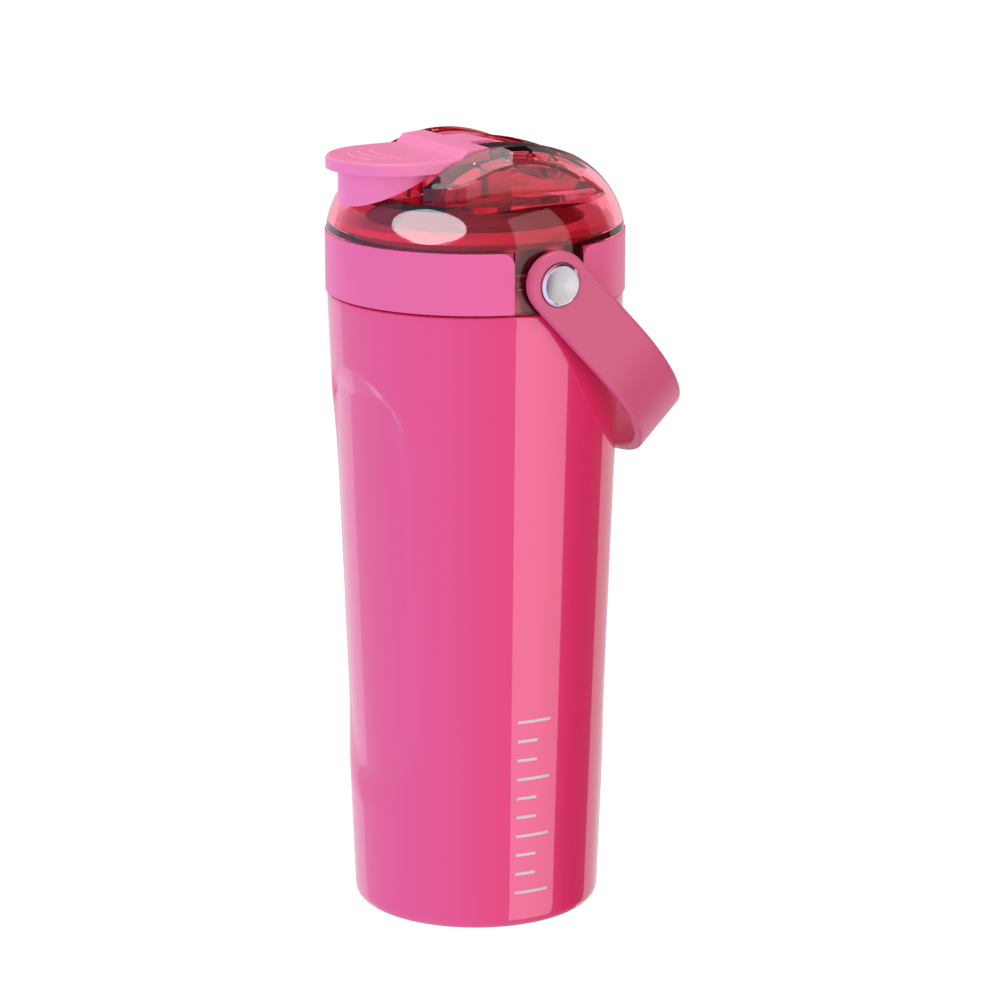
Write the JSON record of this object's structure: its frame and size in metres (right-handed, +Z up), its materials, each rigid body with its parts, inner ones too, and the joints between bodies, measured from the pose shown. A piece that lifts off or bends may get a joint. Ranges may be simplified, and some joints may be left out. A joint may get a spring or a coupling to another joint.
{
  "type": "protein shaker bottle",
  "caption": "Insulated steel shaker bottle with grip recesses, screw-on clear tinted dome lid, flip spout cap, snap-in agitator and a swinging strap handle.",
  "frame": {"origin": "centre of the resting face under the base pad", "axes": "+Z up along the bottle, spout and cap towards -Y, handle pivots along X"},
  "size_m": [0.1008, 0.1076, 0.2351],
  "materials": {
    "body_paint": "gloss",
    "collar_paint": "satin",
    "clear_lid": "clear tinted plastic, polished",
    "cap_plastic": "satin",
    "handle_plastic": "satin",
    "agitator_plastic": "satin",
    "bare_steel": "brushed",
    "button_chrome": "polished edge, radially brushed face",
    "insert_brass": "machined",
    "seal_silicone": "matt",
    "base_silicone": "matt",
    "washer_plastic": "natural"
  },
  "bodies": {
    "bottle": {"outer_shell": "body_paint", "inner_vessel": "bare_steel", "neck_ring": "bare_steel", "base_plate": "body_paint", "base_pad": "base_silicone", "getter_bracket": "bare_steel", "getter_capsule": "bare_steel"},
    "seal": {"lid_gasket": "seal_silicone"},
    "lid": {"lid_dome": "clear_lid", "lid_skirt": "clear_lid", "spout": "clear_lid", "front_collar": "collar_paint", "rear_collar": "collar_paint", "inner_collar": "agitator_plastic", "agitator_ring": "agitator_plastic", "agitator_wires": "bare_steel", "agitator_disc": "agitator_plastic", "hinge_pin": "bare_steel", "pivot_insert_left": "insert_brass", "pivot_insert_right": "insert_brass", "pivot_washer_left": "washer_plastic", "pivot_washer_right": "washer_plastic", "pivot_screw_left": "bare_steel", "pivot_screw_right": "bare_steel", "pivot_button_left": "button_chrome", "pivot_button_right": "button_chrome"},
    "cap": {"flip_cap": "cap_plastic", "spout_plug": "seal_silicone"},
    "handle": {"handle": "handle_plastic"}
  },
  "joints": [
    {"name": "lid_rise", "type": "slide", "parent": "bottle", "child": "seal", "axis": [0, 0, 1], "range_m": [0, 0.0601]},
    {"name": "lid_turn", "type": "hinge", "parent": "seal", "child": "lid", "pos_m": [0, 0, 0.19], "axis": [0, 0, 1], "range_deg": [0, 1800]},
    {"name": "cap_hinge", "type": "hinge", "parent": "lid", "child": "cap", "pos_m": [0, 0.019, 0.226], "axis": [-1, 0, 0], "range_deg": [0, 135]},
    {"name": "handle_swing", "type": "hinge", "parent": "lid", "child": "handle", "pos_m": [0, 0, 0.1989], "axis": [1, 0, 0], "range_deg": [0, 275]}
  ],
  "couplings": [
    {"joint": "lid_rise", "follows": "lid_turn", "m_per_rad": 0.0019099}
  ]
}
